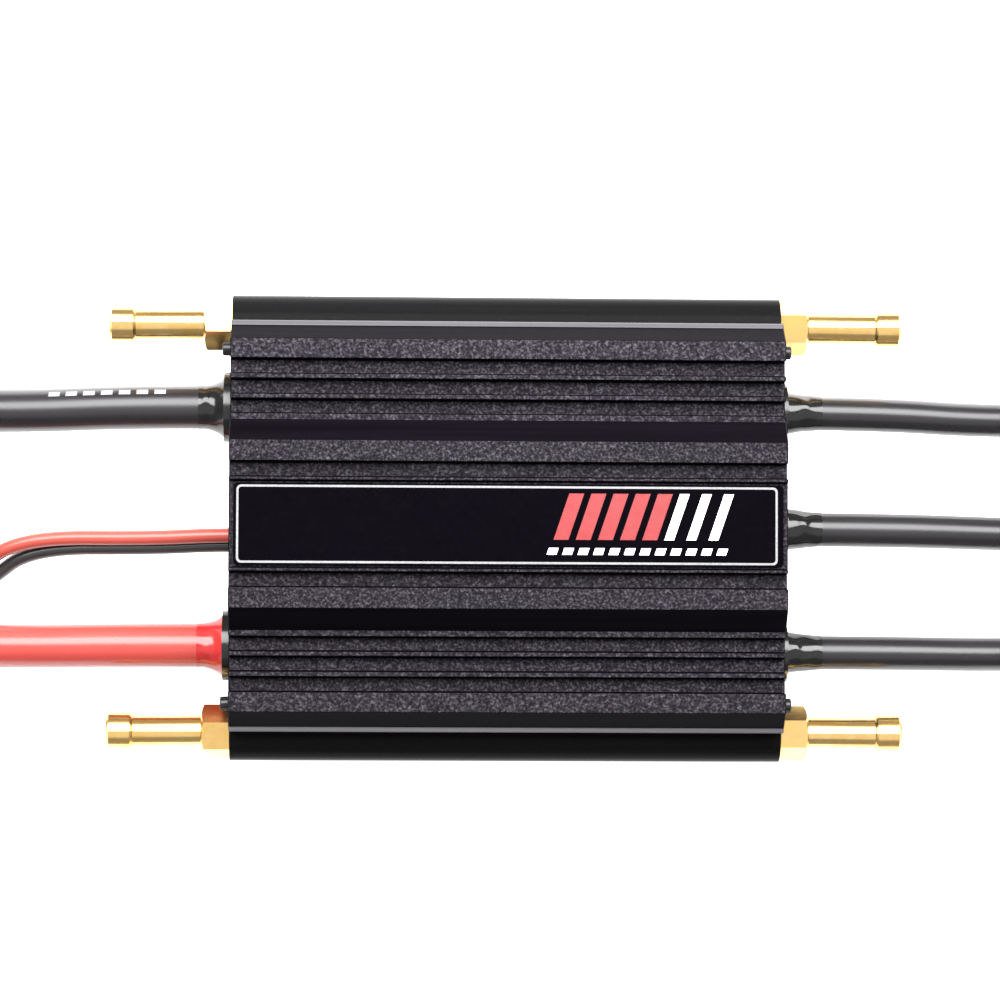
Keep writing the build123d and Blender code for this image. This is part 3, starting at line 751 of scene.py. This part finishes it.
for sign, route in BATTERY_ROUTES.items():
    finish = paints["sealant"] if sign == "negative" else red_sealant
    sealant(f"battery_{sign}_sealant", f"battery_{sign}_seal", -1, route[0][1],
            BATTERY_SEAL, finish, BATTERY_LUMPS[sign])
for phase, route in MOTOR_ROUTES.items():
    sealant(f"motor_{phase}_sealant", f"motor_{phase}_seal", 1, route[0][1],
            MOTOR_SEAL, paints["sealant"], MOTOR_LUMPS[phase])


# Ends of the wires ------------------------------------------------------------------------------
STRAND_R = 0.275
STRAND_RINGS = ((0.56, 6), (1.12, 12))
STRAND_TWIST = 1.1
TIP_X = (-105.0, -110.7)


def strands(name, node, x0, x1, y, z):
    """A twisted and tinned bundle of copper strands."""
    spots = [(0.0, 0.0)]
    for ring, number in STRAND_RINGS:
        spots += [
            (ring * math.cos(k / number * math.tau), ring * math.sin(k / number * math.tau))
            for k in range(number)
        ]
    points, faces = [], []
    steps, sides = 14, 10
    for index, (u, v) in enumerate(spots):
        reach = 0.25 * noise.noise(Vector((index * 1.7, 0.3, 0.9)))
        rings = []
        for i in range(steps + 1):
            share = i / steps
            turn = share * STRAND_TWIST
            cy = y + u * math.cos(turn) - v * math.sin(turn)
            cz = z + u * math.sin(turn) + v * math.cos(turn)
            x = x0 + (x1 - x0 + 0.3 + reach) * share
            rings.append(
                [
                    (x, cy + STRAND_R * math.cos(a), cz + STRAND_R * math.sin(a))
                    for a in (k / sides * math.tau for k in range(sides))
                ]
            )
        more_points, more_faces = rings_mesh(rings)
        base = len(points)
        points += more_points
        faces += [tuple(base + k for k in face) for face in more_faces]
    return piece(name, points, faces, "tinned_copper", paints["tinned_copper"], node)


tips = {
    sign: strands(f"battery_{sign}_strands", f"battery_{sign}_tip", *TIP_X, *route[-1][1:])
    for sign, route in BATTERY_ROUTES.items()
}


# Distance past the wire's end and radius, first outside and then inside.
SLEEVE_OUTSIDE = [
    (11.0, 2.30), (11.0, 2.58), (10.6, 2.60), (6.0, 2.58), (1.4, 2.59), (0.5, 2.55),
    (-0.1, 2.42), (-0.7, 2.26), (-1.5, 2.17), (-2.6, 2.14), (-3.8, 2.13), (-4.0, 2.10),
    (-4.0, 1.86),
]
SLEEVE_INSIDE = [(-1.0, 1.82), (0.0, 2.24), (1.0, 2.26), (11.0, 2.26)]
SLEEVE_SIDES = 64


def heat_shrink(name, node, x_connector, y, z):
    """Shrunk sleeve: wide over the connector, drawn in behind it and close on the wire."""
    def wrinkle(x, angle):
        place = Vector((x * 0.5, math.cos(angle) * 0.8, math.sin(angle) * 0.8 + y))
        return -0.05 * abs(noise.noise(place * 1.6))

    rings = [
        lathe_ring(x_connector + along, y, z, radius, SLEEVE_SIDES,
                   wrinkle if 1.9 < radius and along < 10.8 else None)
        for along, radius in SLEEVE_OUTSIDE
    ]
    rings += [
        lathe_ring(x_connector + along, y, z, radius, SLEEVE_SIDES)
        for along, radius in SLEEVE_INSIDE
    ]
    return piece(name, *rings_mesh(rings, closed=True), "heat_shrink",
                 paints["heat_shrink"], node)


sleeves = {
    phase: heat_shrink(f"motor_{phase}_heat_shrink", f"motor_{phase}_sleeve", *route[-1])
    for phase, route in MOTOR_ROUTES.items()
}


# Tie round the coil -----------------------------------------------------------------------------
TIE_THICK = 0.36
TIE_WIDTH = 2.96
TIE_BOW = 0.03                     # the top dips this far along its middle


def tie():
    """A strap of hook-and-loop tape wound round one side of the coil."""
    steps, corner_steps = 8, 8
    x0, x1, z0, z1 = -79.98, -76.02, 0.02, 3.98
    outside = rounded(x0, x1, z0, z1, 0.9, corner_steps)
    inside = rounded(
        x0 + TIE_THICK, x1 - TIE_THICK, z0 + TIE_THICK, z1 - TIE_THICK, 0.55, corner_steps
    )
    rings = []
    for i in range(steps + 1):
        y = -TIE_WIDTH / 2 + TIE_WIDTH * i / steps
        bow = TIE_BOW * math.sin(i / steps * math.pi)
        rings.append([(x, y, z - bow * (z > (z0 + z1) / 2)) for x, z in outside])
    for i in reversed(range(steps + 1)):
        y = -TIE_WIDTH / 2 + TIE_WIDTH * i / steps
        rings.append([(x, y, z) for x, z in inside])
    return piece("lead_tape", *rings_mesh(rings, closed=True), "tie_black",
                 paints["tie_black"], "lead_tie")


tape = tie()


# Pale marks along the black battery wire ---------------------------------------------------------
MARKS = 7
MARK_START = 9.0                   # distance along the wire
MARK_PITCH = 1.85
MARK_LENGTH = 1.2
MARK_TILT = 34                     # from the top of the wire towards +Y, in degrees
MARK_ARC = 16


def wire_marks():
    """Plain dashes printed along the upper flank of the wire."""
    line = line_of(BATTERY_ROUTES["negative"], 60)
    along = [0.0]
    for a, b in zip(line, line[1:]):
        along.append(along[-1] + (b - a).length)

    def at(distance):
        index = max(i for i, value in enumerate(along[:-1]) if value <= distance)
        share = (distance - along[index]) / (along[index + 1] - along[index])
        here = line[index].lerp(line[index + 1], share)
        ahead = (line[index + 1] - line[index]).normalized()
        side = ahead.cross(Vector((0, 0, 1))).normalized()
        up = side.cross(ahead).normalized()
        return here, side, up

    points, faces = [], []
    rows, columns = 6, 5
    for mark in range(MARKS):
        begin = MARK_START + MARK_PITCH * mark
        for level in (BATTERY_R - 0.02, BATTERY_R + 0.015):
            for i in range(rows):
                here, side, up = at(begin + MARK_LENGTH * i / (rows - 1))
                for k in range(columns):
                    angle = math.radians(MARK_TILT + MARK_ARC * k / (columns - 1))
                    spot = here + (side * math.sin(angle) + up * math.cos(angle)) * level
                    points.append(tuple(spot))
        base = len(points) - 2 * rows * columns
        top = base + rows * columns
        for i in range(rows - 1):
            for k in range(columns - 1):
                a = i * columns + k
                quad = (a, a + 1, a + columns + 1, a + columns)
                faces.append(tuple(top + v for v in quad))
                faces.append(tuple(base + v for v in reversed(quad)))
        rim = list(range(columns))
        rim += [i * columns + columns - 1 for i in range(1, rows)]
        rim += [(rows - 1) * columns + k for k in reversed(range(columns - 1))]
        rim += [i * columns for i in reversed(range(1, rows - 1))]
        for a, b in zip(rim, rim[1:] + rim[:1]):
            faces.append((base + a, base + b, top + b, top + a))
    piece("battery_negative_marks", points, faces, "silicone_black", ink_grey)


wire_marks()

# Finishes of the cords
# ----------------------------------------------------------------------------
for sign, wire in battery_wires.items():
    slot = "silicone_black" if sign == "negative" else "silicone_red"
    wire.data.materials.append(paints[slot].material)
    route = BATTERY_ROUTES[sign]
for phase, wire in motor_wires.items():
    wire.data.materials.append(paints["silicone_black"].material)
    route = MOTOR_ROUTES[phase]
for sign, wire in lead_wires.items():
    slot = "lead_red" if sign == "positive" else "lead_black"
    wire.data.materials.append(paints[slot].material)
    route = lead_routes[sign]

# Shown CAD nodes shade by their larger faces.
for node in nodes.values():
    if not node.hide_render:
        weighted = node.modifiers.new("smooth", "WEIGHTED_NORMAL")
        weighted.keep_sharp = True

# Stage ------------------------------------------------------------------------------------------
FLOOR_HALF = 2.5
FLOOR_DROP = 0.00005
floor_paint = Paint("floor")
paper = floor_paint.grain(160, 4.0, 0.6)
floor_paint.feed(
    floor_paint.ramp(paper, [(0.3, (0.66,) * 3), (0.7, (0.70,) * 3)]), "Base Color"
)
floor_paint.feed(floor_paint.span(paper, 0.3, 0.7, 0.85, 0.95), "Roughness")
floor_paint.feed(floor_paint.bump(paper, 0.05, 0.02), "Normal")
floor_paint.set(Emission_Color=(*WHITE, 1), Emission_Strength=0.92)
floor_data = bpy.data.meshes.new("floor")
floor_data.from_pydata(
    [(x * FLOOR_HALF, y * FLOOR_HALF, 0) for x, y in ((-1, -1), (1, -1), (1, 1), (-1, 1))],
    [], [(0, 1, 2, 3)],
)
floor_data.materials.append(floor_paint.material)
floor = bpy.data.objects.new("floor", floor_data)
floor.location = (0, 0, -FLOOR_DROP)
scene.collection.objects.link(floor)


def softbox(name, place, aim, size, power):
    """A rectangular soft light, with places in metres and power in watts."""
    data = bpy.data.lights.new(name, "AREA")
    data.shape = "RECTANGLE"
    data.size, data.size_y = size
    data.energy = power
    light = bpy.data.objects.new(name, data)
    light.location = place
    light.rotation_euler = (Vector(aim) - Vector(place)).to_track_quat("-Z", "Y").to_euler()
    scene.collection.objects.link(light)
    return light


softbox("key", (0.0, 0.275, 0.5), (0.0, 0.275, 0.0), (1.2, 0.41), 22.0)
softbox("fill", (0.0, -0.25, 0.5), (0.0, -0.25, 0.0), (1.2, 0.44), 1.2)
# A low strip beside the case lights the near flats and leaves no reflection of itself.
rim = softbox("rim", (0.0, 0.064, 0.047), (0.0, 0.0, 0.012), (0.26, 0.03), 0.36)
rim.visible_glossy = False
rim.visible_camera = False

world = bpy.data.worlds.new("studio")
world.use_nodes = True
background = world.node_tree.nodes["Background"]
background.inputs["Color"].default_value = (*WHITE, 1)
background.inputs["Strength"].default_value = 0.4
scene.world = world
scene.view_settings.view_transform = "Standard"
scene.view_settings.look = "None"
